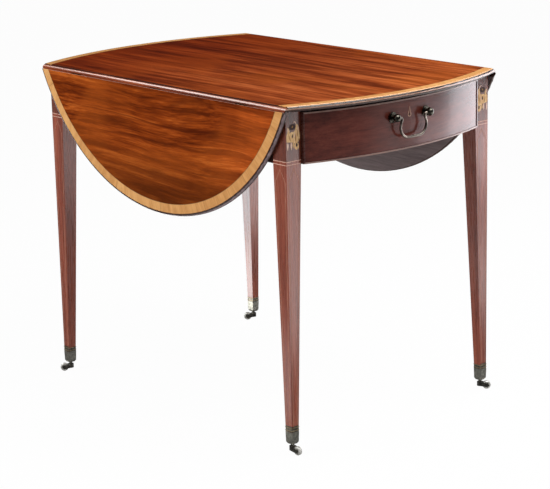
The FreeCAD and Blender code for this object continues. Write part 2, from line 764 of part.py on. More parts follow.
def build_castor(end, side):
    """Brass horn that swivels under its cup and trails a wheel on a riveted axle."""
    name = f"{end}_{side}_castor"
    turn = FreeCAD.Rotation(Z_AXIS, TRAIL_ANGLES[end, side])
    spot = {"x": f"{SIDES[side]} * foot_x", "y": f"{ENDS[end]} * foot_y", "turn": turn}
    neck = cylinder("z", "horn_neck_radius", ("horn_low", "swivel_top"))
    pin = cylinder("z", "swivel_pin_radius", ("horn_low", "cup_floor_high - end_play"))
    root = cylinder("z", "horn_half", ("horn_low", "horn_high"))
    arm = doc.addObject("Part::Wedge", "arm")
    bind(arm, Ymin="0", Ymax="horn_trail", Xmin="-horn_half", Xmax="horn_half")
    bind(arm, X2min="-horn_half", X2max="horn_half", Zmin="horn_low", Zmax="horn_high")
    bind(arm, Z2min="wheel_radius - horn_eye_radius", Z2max="wheel_radius + horn_eye_radius")
    place(arm, turn=FreeCAD.Rotation(Z_AXIS, -90))
    hub = {"x": "horn_trail", "z": "wheel_radius"}
    eye = cylinder("y", "horn_eye_radius", about("horn_half"), **hub)
    wheel_room = cylinder("y", "wheel_radius + wheel_side_gap", about("slot_half"), **hub)
    bore = cylinder("y", "axle_radius", about("horn_half"), **hub)
    horn = cut(fuse(neck, pin, root, arm, eye), wheel_room, bore)
    node(place(horn, **spot), f"{name}_horn")
    axle = cylinder("y", "axle_radius", about("horn_half + axle_head"), **hub)
    node(place(group(axle), **spot), f"{name}_axle")
    node(place(castor_wheel(), **spot), f"{name}_wheel")


def castor_wheel():
    """Turned wheel with bevelled rims and a shallow dish in each face."""
    hub = {"x": "horn_trail", "z": "wheel_radius"}
    rim = "wheel_width / 2 - wheel_bevel"
    tread = cylinder("y", "wheel_radius", about(rim), **hub)
    inner = "wheel_radius - wheel_bevel"
    half = "wheel_width / 2"
    bevels = [cone("y", inner, "wheel_radius", (f"-({half})", f"-({rim})"), **hub),
              cone("y", "wheel_radius", inner, (rim, half), **hub)]
    floor = f"{half} - wheel_dish_depth"
    dish_low = "wheel_dish_radius - wheel_dish_depth"
    dishes = [cone("y", "wheel_dish_radius", dish_low, (f"-({half})", f"-({floor})"), **hub),
              cone("y", dish_low, "wheel_dish_radius", (floor, half), **hub)]
    bore = cylinder("y", "axle_radius + running_gap", about(half), **hub)
    return cut(fuse(tread, *bevels), *dishes, bore)


def castor_cups():
    """Square brass cups on the feet, drawn in at the base and bored for the swivel pins."""
    made = []
    for sy in ENDS.values():
        for sx in SIDES.values():
            mouth, waist, base, hole = [
                (span(sx, f"foot_x - {width} / 2", f"foot_x + {width} / 2"),
                 span(sy, f"foot_y - {width} / 2", f"foot_y + {width} / 2"))
                for width in ("cup_mouth", "cup_waist", "cup_base", "foot_tenon")]
            shell = taper_up(("cup_floor_high", "cup_high"), *waist, *mouth)
            toe = taper_up(("castor_height", "cup_floor_high"), *base, *waist)
            socket = box(*hole, ("cup_floor_high", "cup_high"))
            bore = cylinder("z", "swivel_pin_radius + running_gap", ("castor_height", "cup_floor_high"),
                            x=f"{sx} * foot_x", y=f"{sy} * foot_y")
            made.append(cut(fuse(shell, toe), socket, bore))
    return group(*made)


def check_and_write():
    """Stop on any feature that failed, then write each piece under its label."""
    doc.recompute()
    for made in doc.Objects:
        if "Invalid" in made.State or "Error" in made.State:
            raise RuntimeError(f"{made.Name} ({made.Label}) failed: {made.State}")
    for made in nodes:
        if made.Shape.isNull() or not made.Shape.isValid() or not made.Shape.Solids:
            raise RuntimeError(f"{made.Label} has no valid solid")
    os.makedirs("parts", exist_ok=True)
    for made in nodes:
        made.Shape.exportStep(f"parts/{made.Label}.step")
        print(made.Label, len(made.Shape.Solids), round(made.Shape.Volume))


fill_sheet(sizes, {alias: str(value) for alias, value in SIZES.items()})
fill_sheet(places, {alias: "=" + qualified(text, "") for alias, text in PLACES.items()})
top_fixings = build_top()
for side_name, side_sign in SIDES.items():
    build_leaf(side_name, side_sign)
    node(cut(build_side(side_name, side_sign), top_fixings), f"{side_name}_drawer_kicker")
    for end_name in ENDS:
        build_leg(end_name, side_name)
        build_castor(end_name, side_name)
node(bracket_pins(), "fly_bracket_pins")
node(bowed_rail("blade_low", "blade_high", blade_tenon()), "drawer_blade")
node(bowed_rail("kicker_low", "top_underside", top_rail_tenon()), "drawer_top_rail")
node(bow_front(-1, "leg_in_x", "blade_radius", "lip_low", "top_underside"), "drawer_lip")
node(castor_cups(), "castor_cups")
build_back()
build_drawer()
check_and_write()
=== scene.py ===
import math

import bmesh
import bpy
from mathutils import Matrix, Vector


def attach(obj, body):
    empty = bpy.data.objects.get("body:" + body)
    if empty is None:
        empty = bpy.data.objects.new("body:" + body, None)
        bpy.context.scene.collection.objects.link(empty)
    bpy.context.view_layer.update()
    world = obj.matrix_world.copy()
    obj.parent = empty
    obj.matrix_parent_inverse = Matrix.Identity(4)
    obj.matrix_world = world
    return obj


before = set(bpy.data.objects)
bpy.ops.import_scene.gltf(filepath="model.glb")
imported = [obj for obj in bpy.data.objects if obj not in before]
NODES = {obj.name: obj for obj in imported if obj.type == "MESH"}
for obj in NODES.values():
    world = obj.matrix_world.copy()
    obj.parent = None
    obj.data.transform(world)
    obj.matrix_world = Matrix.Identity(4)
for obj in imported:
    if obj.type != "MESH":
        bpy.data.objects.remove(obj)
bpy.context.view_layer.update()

SIDES = {"left": -1, "right": 1}
ENDS = {"front": -1, "back": 1}

# Sizes repeated from the solids
TABLE_HEIGHT = 0.715
TOP_UNDERSIDE = 0.704
HINGE_X, HINGE_Z = 0.294, 0.705
RULE_RADIUS, LEAF_LEAN = 0.0075, math.radians(1.1)
LEG_X, LEG_Y = 0.290, 0.388
LEG_SQUARE, LEG_FOOT = 0.0385, 0.0185
FRIEZE_LOW, CUP_HIGH = 0.595, 0.048
BOW_CENTRE, BOW_RADIUS = 0.288, 0.750
LEAF_CENTRE, LEAF_RADIUS = 0.124929, 0.436071
EDGE_NOSE, BAND_INNER_INSET = 0.006, 0.0265
HANDLE_Z = 0.664
BEAD_HIGH = 0.6945


class Shader:
    """One material's node tree, built call by call."""

    def __init__(self, name):
        self.material = bpy.data.materials.new(name)
        self.material.use_nodes = True
        self.tree = self.material.node_tree
        self.tree.nodes.clear()
        self.output = self.tree.nodes.new("ShaderNodeOutputMaterial")
        self.coords = self.tree.nodes.new("ShaderNodeTexCoord").outputs["Object"]

    def put(self, socket, value):
        if isinstance(value, bpy.types.NodeSocket):
            self.tree.links.new(value, socket)
        else:
            socket.default_value = value

    def node(self, kind, values, output=0, **settings):
        made = self.tree.nodes.new(kind)
        for key, value in settings.items():
            setattr(made, key, value)
        for key, value in values.items():
            self.put(made.inputs[key], value)
        return made.outputs[output]

    def math(self, operation, *values):
        return self.node("ShaderNodeMath", dict(enumerate(values)), operation=operation)

    def scaled(self, vector, scale, shift=(0, 0, 0)):
        values = {"Vector": vector, "Scale": scale, "Location": shift}
        return self.node("ShaderNodeMapping", values)

    def noise(self, vector, scale=1.0, detail=3.0, rough=0.5, warp=0.0, output="Fac"):
        values = {"Vector": vector, "Scale": scale, "Detail": detail, "Roughness": rough,
                  "Distortion": warp}
        return self.node("ShaderNodeTexNoise", values, output)

    def span(self, value, low, high, start=0.0, end=1.0):
        """Smooth change from start to end as the value goes from low to high."""
        values = {"Value": value, 1: low, 2: high, 3: start, 4: end}
        return self.node("ShaderNodeMapRange", values, interpolation_type="SMOOTHSTEP")

    def mix(self, share, first, second, blend="MIX"):
        values = {0: share, 6: first, 7: second}
        return self.node("ShaderNodeMix", values, 2, data_type="RGBA", blend_type=blend)

    def ramp(self, value, stops):
        made = self.tree.nodes.new("ShaderNodeValToRGB")
        elements = made.color_ramp.elements
        while len(elements) < len(stops):
            elements.new(0.5)
        for element, (place, colour) in zip(elements, stops):
            element.position = place
            element.color = (*colour, 1)
        self.put(made.inputs[0], value)
        return made.outputs[0]

    def split(self, vector):
        made = self.tree.nodes.new("ShaderNodeSeparateXYZ")
        self.put(made.inputs[0], vector)
        return made.outputs

    def join(self, x, y, z):
        return self.node("ShaderNodeCombineXYZ", {0: x, 1: y, 2: z})

    def bump(self, height, strength, distance):
        values = {"Height": height, "Strength": strength, "Distance": distance}
        return self.node("ShaderNodeBump", values)

    def finish(self, colour, roughness, normal=None, metallic=0.0, specular=0.5, coat=0.0,
               coat_rough=0.1):
        made = self.tree.nodes.new("ShaderNodeBsdfPrincipled")
        values = {"Base Color": colour, "Roughness": roughness, "Metallic": metallic,
                  "Specular IOR Level": specular, "Coat Weight": coat, "Coat Roughness": coat_rough}
        for key, value in values.items():
            self.put(made.inputs[key], value)
        if normal is not None:
            self.put(made.inputs["Normal"], normal)
        self.tree.links.new(made.outputs[0], self.output.inputs["Surface"])
        return self.material


def rgba(colour):
    return (*colour, 1)


def along(grain, length, across):
    """Scale that draws a texture out along the grain axis."""
    return tuple(length if axis == grain else across for axis in "xyz")


# Waves per metre along the grain and across it: streaks, ribbons, fine figure, pores and dark lines
STREAK, RIBBON, FINE, PORES, DARK_LINE = (1.6, 24), (4.5, 85), (14, 480), (45, 1500), (1.8, 56)
STREAK_SHARE, RIBBON_SHARE, FINE_SHARE = 0.40, 0.42, 0.18
WAVE_SCALE = 2.4
PATCH_SCALE, PATCH_SLANT = (5.0, 2.6, 7.0), (0.5, 0.0, 0.5)
DARK_LINE_COLOUR, PATCH_COLOUR = (0.075, 0.009, 0.001), (0.42, 0.088, 0.010)
PORE_COLOUR, PORE_SHARE = (0.02, 0.006, 0.003), 0.3
# Noise levels between which lines, patches and pores come in
LINE_SPAN, PATCH_SPAN, PORE_SPAN = (0.51, 0.63), (0.44, 0.64), (0.58, 0.72)


def timber(shader, grain, tones, shift=(0, 0, 0), wave=0.012, lines=0.0, patches=0.0, fades=()):
    """Colour, fine figure and pores of a straight-grained wood with darker streaks and lines.

    Each fades entry is an axis, where it starts and ends, and the colour that tints the wood at either
    end, so painting light and shade into the wood by place.
    """
    drift = shader.noise(shader.scaled(shader.coords, (1, 1, 1), shift), WAVE_SCALE, 2.0, output="Color")
    drift = shader.node("ShaderNodeVectorMath", {0: drift, 1: (0.5, 0.5, 0.5)}, operation="SUBTRACT")
    drift = shader.node("ShaderNodeVectorMath", {0: drift, "Scale": wave * 2}, operation="SCALE")
    warped = shader.node("ShaderNodeVectorMath", {0: shader.coords, 1: drift}, operation="ADD")
    streak = shader.noise(shader.scaled(warped, along(grain, *STREAK), shift), 1.0, 4.0, 0.6, 0.35)
    ribbon = shader.noise(shader.scaled(warped, along(grain, *RIBBON), shift), 1.0, 4.0, 0.6)
    fine = shader.noise(shader.scaled(warped, along(grain, *FINE), shift), 1.0, 2.0, 0.5)
    pores = shader.noise(shader.scaled(shader.coords, along(grain, *PORES), shift), 1.0, 1.0, 0.5)
    figure = shader.math("MULTIPLY", streak, STREAK_SHARE)
    figure = shader.math("MULTIPLY_ADD", ribbon, RIBBON_SHARE, figure)
    figure = shader.math("MULTIPLY_ADD", fine, FINE_SHARE, figure)
    colour = shader.ramp(figure, tones)
    if lines:
        place = shader.scaled(warped, along(grain, *DARK_LINE), (shift[1], 0.7, shift[0]))
        dark = shader.noise(place, 1.0, 4.0, 0.55, 0.6)
        dark = shader.math("MULTIPLY", shader.span(dark, *LINE_SPAN), lines)
        colour = shader.mix(dark, colour, rgba(DARK_LINE_COLOUR))
    if patches:
        slant = shader.node("ShaderNodeMapping", {"Vector": shader.coords, "Rotation": PATCH_SLANT})
        patch = shader.noise(shader.scaled(slant, PATCH_SCALE, shift), 1.0, 2.0, 0.5, 0.4)
        lift = shader.math("MULTIPLY", shader.span(patch, *PATCH_SPAN), patches)
        colour = shader.mix(lift, colour, rgba(PATCH_COLOUR))
    pore = shader.span(pores, *PORE_SPAN)
    colour = shader.mix(shader.math("MULTIPLY", pore, PORE_SHARE), colour, rgba(PORE_COLOUR))
    # Painted light and shade: the colour multiplied along an axis
    for axis, low, high, start, end in fades:
        share = shader.span(shader.split(shader.coords)["xyz".index(axis)], low, high)
        colour = shader.mix(1.0, colour, shader.mix(share, rgba(start), rgba(end)), "MULTIPLY")
    return colour, fine, pore


def wood(name, grain, tones, rough, specular, coat=0.0, coat_rough=0.12, relief=0.12, **figure):
    """Wood with its grain along one axis, polished or, with a high roughness, left bare."""
    shader = Shader(name)
    colour, fine, pore = timber(shader, grain, tones, **figure)
    roughness = shader.math("MULTIPLY_ADD", fine, 0.10, rough - 0.05)
    height = shader.math("SUBTRACT", fine, pore)
    return shader.finish(colour, roughness, shader.bump(height, relief, 0.0002), specular=specular,
                         coat=coat, coat_rough=coat_rough)


# How far down the edge of a board its wood turns under, from and to: painted shade there
UNDER_FROM, UNDER_TO = (0.0062, 0.0070), (0.0085, 0.0105)
LINE_SOFT, HIGHLIGHT_SOFT = 0.0002, 0.0003
EDGE_SHEEN_AND_WEAR, EDGE_GRAIN = 55.0, (260, 260, 900)
# How much paler than the dark line the wood turning under is, by noise level
TURNED_LIFTS = ((0.3, 1.6), (0.7, 3.0))


def edge(name, depth_below, rim, highlight_tones, dark, levels):
    """Nosed edge of a board with its light painted in: a rim by the band, a dark line, a paler band that
    is a painted highlight, then dark wood turning under in painted shade; on the top the rim is a painted
    highlight too.

    The levels are how deep the rim ends, and where the highlight starts and ends.
    """
    shader = Shader(name)
    depth = depth_below(shader, shader.split(shader.coords))
    sheen_and_wear = shader.noise(shader.coords, EDGE_SHEEN_AND_WEAR, 3.0)
    fine = shader.noise(shader.scaled(shader.coords, EDGE_GRAIN), 1.0, 3.0)
    pale = shader.ramp(sheen_and_wear, [(0.3, highlight_tones[0]), (0.7, highlight_tones[1])])
    rim_end, highlight_start, highlight_end = levels
    past_rim = shader.span(depth, rim_end - LINE_SOFT, rim_end + LINE_SOFT)
    colour = shader.mix(past_rim, rgba(rim), rgba(dark))
    enter = shader.span(depth, highlight_start - LINE_SOFT, highlight_start + LINE_SOFT)
    leave = shader.span(depth, highlight_end - HIGHLIGHT_SOFT, highlight_end + HIGHLIGHT_SOFT, 1.0, 0.0)
    colour = shader.mix(shader.math("MULTIPLY", enter, leave), colour, pale)
    turned = shader.ramp(fine, [(level, tuple(c * lift for c in dark)) for level, lift in TURNED_LIFTS])
    under = shader.span(depth, *UNDER_FROM)
    past = shader.span(depth, *UNDER_TO, 1.0, 0.0)
    colour = shader.mix(shader.math("MULTIPLY", under, past), colour, turned)
    roughness = shader.math("MULTIPLY_ADD", sheen_and_wear, 0.12, 0.20)
    return shader.finish(colour, roughness, shader.bump(fine, 0.06, 0.0002), specular=0.5)


def below_top(shader, axes):
    return shader.math("SUBTRACT", TABLE_HEIGHT, axes[2])


def below_leaf(shader, axes):
    """Depth under a leaf's show face, from where a spot is as the leaf hangs."""
    out = shader.math("SUBTRACT", shader.math("ABSOLUTE", axes[0]), HINGE_X)
    up = shader.math("SUBTRACT", axes[2], HINGE_Z)
    level = shader.math("SUBTRACT", shader.math("MULTIPLY", out, math.cos(LEAF_LEAN)),
                        shader.math("MULTIPLY", up, math.sin(LEAF_LEAN)))
    return shader.math("SUBTRACT", TABLE_HEIGHT - HINGE_Z, level)


BAND_LENGTH = 0.155
BAND_STRING, BAND_STRING_SHARE = (0.0006, 0.0010), 0.85
BAND_LEAN, BAND_SHIFT = 0.6, 7.0
BAND_FINE, BAND_FIGURE = (620, 30, 1), (75, 16, 1)
BAND_FINE_SHARE, BAND_FIGURE_SHARE, BAND_TONE_SHARE = 0.35, 0.5, 0.13
SEAM_SPAN, SEAM_SHARE = (0.4955, 0.4985), 0.55
SEAM_COLOUR, BAND_STRING_COLOUR = (0.16, 0.055, 0.015), (0.05, 0.015, 0.006)


def banding(name, tones, centre, edge_radius, flat_axes):
    """Crossbanding in short lengths, its grain across it at a slant, with a string at its inner side."""
    shader = Shader(name)
    axes = shader.split(shader.coords)
    across, outward = flat_axes(shader, axes, centre)
    angle = shader.math("ARCTAN2", across, outward)
    radius = shader.math("SQRT", shader.math("ADD", shader.math("MULTIPLY", across, across),
                                             shader.math("MULTIPLY", outward, outward)))
    run = shader.math("MULTIPLY", angle, edge_radius)
    length = shader.math("FLOOR", shader.math("DIVIDE", run, BAND_LENGTH))
    tone = shader.node("ShaderNodeTexWhiteNoise", {"W": length}, noise_dimensions="1D")
    lean = shader.math("MULTIPLY_ADD", shader.math("MULTIPLY", radius, BAND_LEAN), tone, run)
    place = shader.join(lean, radius, shader.math("MULTIPLY", tone, BAND_SHIFT))
    fine = shader.noise(shader.scaled(place, BAND_FINE), 1.0, 2.0)
    figure = shader.noise(shader.scaled(place, BAND_FIGURE), 1.0, 3.0, 0.6)
    value = shader.math("MULTIPLY", figure, BAND_FIGURE_SHARE)
    value = shader.math("MULTIPLY_ADD", fine, BAND_FINE_SHARE, value)
    value = shader.math("MULTIPLY_ADD", tone, BAND_TONE_SHARE, value)
    colour = shader.ramp(value, tones)
    share = shader.math("FRACT", shader.math("DIVIDE", run, BAND_LENGTH))
    joint = shader.math("ABSOLUTE", shader.math("SUBTRACT", share, 0.5))
    seam = shader.math("MULTIPLY", shader.span(joint, *SEAM_SPAN), SEAM_SHARE)
    colour = shader.mix(seam, colour, rgba(SEAM_COLOUR))
    inner = edge_radius - BAND_INNER_INSET
    dark = shader.span(radius, inner + BAND_STRING[0], inner + BAND_STRING[1], 1.0, 0.0)
    colour = shader.mix(shader.math("MULTIPLY", dark, BAND_STRING_SHARE), colour, rgba(BAND_STRING_COLOUR))
    roughness = shader.math("MULTIPLY_ADD", fine, 0.08, 0.28)
    return shader.finish(colour, roughness, shader.bump(fine, 0.08, 0.0002), specular=0.25)


def top_plan(shader, axes, centre):
    return axes[0], shader.math("ADD", shader.math("ABSOLUTE", axes[1]), centre)


def leaf_plan(shader, axes, centre):
    """Places on a leaf as it lies when raised, from where they are on it as it hangs."""
    down = shader.math("MULTIPLY", shader.math("SUBTRACT", HINGE_Z, axes[2]), math.cos(LEAF_LEAN))
    inward = shader.math("SUBTRACT", HINGE_X, shader.math("ABSOLUTE", axes[0]))
    reach = shader.math("MULTIPLY_ADD", inward, math.sin(LEAF_LEAN), down)
    return axes[1], shader.math("ADD", reach, HINGE_X - centre)


def brass(name, dark, bright, rough, scale=160.0, metallic=1.0):
    """Old brass: brown patina with rubbed patches and small pits."""
    shader = Shader(name)
    patch = shader.noise(shader.coords, scale, 4.0, 0.6)
    pits = shader.noise(shader.coords, scale * 8, 2.0)
    colour = shader.ramp(patch, [(0.38, dark), (0.64, bright)])
    roughness = shader.math("MULTIPLY_ADD", patch, -0.22, rough + 0.11)
    return shader.finish(colour, roughness, shader.bump(pits, 0.10, 0.0003), metallic=metallic)


def inlay(name, tones):
    """Inlaid wood with its grain upright, pale or stained dark."""
    shader = Shader(name)
    fine = shader.noise(shader.scaled(shader.coords, (700, 700, 40)), 1.0, 2.0)
    colour = shader.ramp(fine, tones)
    return shader.finish(colour, shader.math("MULTIPLY_ADD", fine, 0.1, 0.3), specular=0.3)


DROP_HEIGHT = 0.0153
DROP_STRING = (0.0032, 0.0036)
DROP_TIP_SHARE = 0.02
DROP_FIELD_TONES = [(0.3, (0.10, 0.03, 0.018)), (0.7, (0.20, 0.07, 0.04))]
DROP_STRING_TONES = [(0.3, (0.50, 0.27, 0.185)), (0.7, (0.70, 0.44, 0.33))]


def keyhole_plate(name):
    """Drop-shaped inlay: a pale string round a field of wood like the drawer's."""
    shader = Shader(name)
    axes = shader.split(shader.coords)
    up = shader.math("SUBTRACT", axes[2], HANDLE_Z)
    risen = shader.math("DIVIDE", shader.math("MAXIMUM", up, 0.0), DROP_HEIGHT)
    narrowing = shader.math("SUBTRACT", 1.0, risen)
    wide = shader.math("DIVIDE", axes[0], shader.math("MAXIMUM", narrowing, DROP_TIP_SHARE))
    down = shader.math("MINIMUM", up, 0.0)
    reach = shader.math("SQRT", shader.math("ADD", shader.math("MULTIPLY", wide, wide),
                                            shader.math("MULTIPLY", down, down)))
    rim = shader.span(reach, *DROP_STRING)
    fine = shader.noise(shader.scaled(shader.coords, (600, 600, 60)), 1.0, 2.0)
    field = shader.ramp(fine, DROP_FIELD_TONES)
    pale = shader.ramp(fine, DROP_STRING_TONES)
    roughness = shader.math("MULTIPLY_ADD", fine, 0.1, 0.3)
    return shader.finish(shader.mix(rim, field, pale), roughness, specular=0.3)


STEEL_TONES = [(0.4, (0.20, 0.19, 0.18)), (0.66, (0.12, 0.07, 0.045))]


def steel(name):
    """Grey steel with patches of brown rust."""
    shader = Shader(name)
    rust = shader.noise(shader.coords, 240.0, 4.0, 0.6)
    colour = shader.ramp(rust, STEEL_TONES)
    return shader.finish(colour, shader.math("MULTIPLY_ADD", rust, 0.3, 0.3), metallic=1.0)


TOP_TONES = [(0.41, (0.090, 0.012, 0.002)), (0.47, (0.18, 0.028, 0.005)), (0.53, (0.27, 0.049, 0.010)),
             (0.59, (0.39, 0.088, 0.022))]
LEAF_TONES = [(0.41, (0.095, 0.0135, 0.0012)), (0.47, (0.20, 0.032, 0.003)), (0.53, (0.31, 0.056, 0.006)),
              (0.59, (0.48, 0.108, 0.015))]
LEG_TONES = [(0.38, (0.150, 0.024, 0.009)), (0.50, (0.265, 0.050, 0.021)), (0.62, (0.370, 0.086, 0.041))]
FRIEZE_TONES = [(0.38, (0.062, 0.0115, 0.008)), (0.50, (0.120, 0.0240, 0.0155)),
                (0.62, (0.185, 0.042, 0.027))]
BEAD_TONES = [(0.38, (0.050, 0.011, 0.008)), (0.62, (0.105, 0.030, 0.022))]
# Painted highlight on the fronts of the cock bead's lower and upper runs
BEAD_HIGHLIGHT_TONES = [(0.38, (0.24, 0.13, 0.10)), (0.62, (0.40, 0.25, 0.21))]
# Painted shade: the side and fly rails and their brackets near black, as they sit in shade under the top
RAIL_SHADE_TONES = [(0.38, (0.022, 0.007, 0.005)), (0.62, (0.060, 0.018, 0.013))]
BARE_TONES = [(0.38, (0.13, 0.094, 0.096)), (0.50, (0.205, 0.155, 0.158)), (0.62, (0.29, 0.224, 0.226))]
OAK_TONES = [(0.34, (0.14, 0.084, 0.045)), (0.50, (0.24, 0.15, 0.085)), (0.66, (0.34, 0.23, 0.14))]
SATIN_TONES = [(0.30, (0.52, 0.225, 0.066)), (0.47, (0.66, 0.325, 0.108)), (0.62, (0.77, 0.420, 0.160))]
# Painted highlight along the upward faces of the leaves
CORNER_HIGHLIGHT_TONES = [(0.4, (0.46, 0.26, 0.20)), (0.6, (0.68, 0.44, 0.36))]
# Painted shade: near-black wood in the fillet, the cove, the drawer's lip and the gap over the drawer
RECESS_SHADE_TONES = [(0.4, (0.02, 0.006, 0.004)), (0.6, (0.05, 0.014, 0.008))]
PLAIN = (1.0, 1.0, 1.0)
# Painted light and shade: the top paler and warmer at the drawer end, darker towards the far end
TOP_PAINTED_LIGHT = [("y", -0.46, 0.46, (1.16, 1.30, 1.40), (0.67, 0.42, 0.20))]
# Painted shade and light: the leaves darker towards their lower edge and paler at the drawer end
LEAF_PAINTED_LIGHT = [("z", 0.44, 0.60, (0.36, 0.36, 0.36), PLAIN), ("y", -0.36, -0.12, (1.5, 1.5, 1.9), PLAIN)]
# Painted shade: the square tops of the legs darker, under the overhang of the top
LEG_PAINTED_SHADE = [("z", 0.602, 0.606, PLAIN, (0.55, 0.55, 0.55))]
TOP_EDGE_DARK, LEAF_EDGE_DARK = (0.026, 0.012, 0.009), (0.046, 0.027, 0.022)

MATERIALS = {
    "top": wood("top_mahogany", "y", TOP_TONES, 0.34, 0.05, lines=0.6, patches=0.25, fades=TOP_PAINTED_LIGHT),
    "leaf": wood("leaf_mahogany", "y", LEAF_TONES, 0.34, 0.03, shift=(0.4, 1.9, 0.7), wave=0.026,
                 lines=0.68, patches=0.35, fades=LEAF_PAINTED_LIGHT),
    "ovolo": wood("ovolo_mahogany", "y", TOP_TONES, 0.24, 1.0, coat=0.8, coat_rough=0.18),
    "corner": wood("leaf_corner_painted_highlight", "y", CORNER_HIGHLIGHT_TONES, 0.3, 0.5),
    "recess_shade": wood("recess_painted_shade", "y", RECESS_SHADE_TONES, 0.5, 0.2),
    # Painted highlights on the top's nose: the bright rim and the pale band; the wood turning under is
    # painted shade
    "edge": edge("edge_painted_light", below_top, (0.86, 0.50, 0.27),
                 ((0.36, 0.21, 0.155), (0.52, 0.35, 0.275)), TOP_EDGE_DARK, (0.0011, 0.0039, 0.0061)),
    # Painted highlight on the leaf's nose: the pale lilac band; the wood turning under is painted shade
    "lip": edge("leaf_edge_painted_light", below_leaf, LEAF_EDGE_DARK,
                ((0.17, 0.118, 0.122), (0.30, 0.22, 0.23)), LEAF_EDGE_DARK, (0.0004, 0.0013, 0.0053)),
    "bare": wood("bare_mahogany", "y", BARE_TONES, 0.6, 0.2, relief=0.25),
    "leg": wood("leg_mahogany", "z", LEG_TONES, 0.28, 1.0, coat=0.8, coat_rough=0.2, fades=LEG_PAINTED_SHADE),
    "frieze": wood("frieze_mahogany", "x", FRIEZE_TONES, 0.21, 0.5),
    "bead": wood("bead_mahogany", "x", BEAD_TONES, 0.28, 0.6),
    "bead_highlight": wood("bead_painted_highlight", "x", BEAD_HIGHLIGHT_TONES, 0.28, 0.6),
    "rail": wood("rail_painted_shade", "y", RAIL_SHADE_TONES, 0.5, 0.2),
    "oak": wood("carcase_oak", "y", OAK_TONES, 0.6, 0.2, relief=0.25),
    "top_band": banding("top_satinwood", SATIN_TONES, BOW_CENTRE, BOW_RADIUS, top_plan),
    "leaf_band": banding("leaf_satinwood", SATIN_TONES, LEAF_CENTRE, LEAF_RADIUS, leaf_plan),
    "handle": brass("handle_brass", (0.035, 0.032, 0.026), (0.20, 0.185, 0.15), 0.26),
    "bail": brass("bail_brass", (0.12, 0.10, 0.085), (0.40, 0.34, 0.29), 0.30, 70.0),
    "cup": brass("cup_brass", (0.36, 0.35, 0.30), (0.66, 0.64, 0.55), 0.42),
    "cup_ring": brass("cup_ring_brass", (0.24, 0.18, 0.11), (0.44, 0.35, 0.22), 0.4, metallic=0.6),
    "horn": brass("horn_bronze", (0.10, 0.095, 0.085), (0.30, 0.28, 0.24), 0.36),
    "wheel": brass("wheel_brass", (0.50, 0.49, 0.44), (0.86, 0.85, 0.80), 0.4, metallic=0.45),
    "fitting": brass("fitting_brass", (0.22, 0.16, 0.07), (0.46, 0.36, 0.18), 0.42),
    "keyhole": keyhole_plate("escutcheon_inlay"),
    "collar": inlay("boxwood", [(0.3, (0.58, 0.32, 0.235)), (0.7, (0.78, 0.50, 0.40))]),
    "string": inlay("toned_stringing", [(0.3, (0.32, 0.130, 0.085)), (0.7, (0.48, 0.225, 0.155))]),
    "petal": inlay("inlay_petals", [(0.35, (0.60, 0.33, 0.135)), (0.62, (0.86, 0.58, 0.30))]),
    "petal_shade": inlay("inlay_shaded", [(0.35, (0.28, 0.125, 0.036)), (0.65, (0.44, 0.22, 0.075))]),
    "petal_pale": inlay("inlay_pale", [(0.35, (0.70, 0.45, 0.34)), (0.62, (0.88, 0.64, 0.51))]),
    "flower": inlay("inlay_dark", [(0.35, (0.030, 0.009, 0.005)), (0.65, (0.065, 0.022, 0.011))]),
    "steel": steel("dark_steel"),
}

NODE_MATERIALS = {
    "top_board": "top", "left_leaf": "leaf", "right_leaf": "leaf",
    "top_crossbanding": "top_band",
    "left_leaf_crossbanding": "leaf_band", "right_leaf_crossbanding": "leaf_band",
    "drawer_front": "frieze", "back_frieze": "frieze", "drawer_lip": "recess_shade",
    "drawer_cock_bead": "bead", "back_cock_bead": "bead", "drawer_handle": "bail", "back_handle": "bail",
    "hinge_pins": "steel", "top_screws": "steel", "fly_bracket_pins": "steel",
    "drawer_escutcheon": "keyhole", "back_escutcheon": "keyhole",
}


def finish_of(name):
    """Which finish a solid takes, by its name or by the kind of piece it is."""
    if name in NODE_MATERIALS:
        return NODE_MATERIALS[name]
    for part, finish in (("_leg", "leg"), ("wheel", "wheel"), ("cups", "cup"), ("castor", "horn"),
                         ("hinge_plates", "fitting"), ("lock", "fitting"), ("handle", "handle"),
                         ("side_rail", "rail"), ("fly_", "rail")):
        if part in name:
            return finish
    return "oak"


for name, solid in NODES.items():
    solid.data.materials.clear()
    solid.data.materials.append(MATERIALS[finish_of(name)])


def reface(name, finish, test):
    """Give another finish to the faces of a solid whose middle and normal pass the test."""
    mesh = NODES[name].data
    mesh.materials.append(MATERIALS[finish])
    for face in mesh.polygons:
        if test(face.center, face.normal):
            face.material_index = len(mesh.materials) - 1


def leaf_levels(spot):
    """How far a spot is along a hanging leaf from its hinge, and how far out from the pin."""
    out, up = abs(spot.x) - HINGE_X, spot.z - HINGE_Z
    along_leaf = -out * math.sin(LEAF_LEAN) - up * math.cos(LEAF_LEAN)
    return along_leaf, out * math.cos(LEAF_LEAN) - up * math.sin(LEAF_LEAN)


# How far a normal points along an axis: square on, at a slant, or hardly at all
SQUARE_ON, SLANTED, SIDE_ON = 0.9, 0.5, 0.3
COVE_SLACK, LEVEL_SLACK, SEAM_SLACK = 0.0010, 0.0005, 0.0002
BEAD_RUN, BEAD_ROUND, BEAD_STEPS = 0.004, 0.0011, 3


def in_cove(spot, _):
    from_pin = math.hypot(*leaf_levels(spot))
    return from_pin < RULE_RADIUS + COVE_SLACK and leaf_levels(spot)[1] > -LEVEL_SLACK


def leaf_inside(spot, normal):
    facing = normal.x * math.copysign(1, spot.x)
    return facing < -SQUARE_ON and leaf_levels(spot)[1] < LEVEL_SLACK


def on_underside(_, normal):
    return normal.z < -SQUARE_ON


def on_upper_side(_, normal):
    return normal.z > SQUARE_ON


def on_front(_, normal):
    return normal.y < -SLANTED


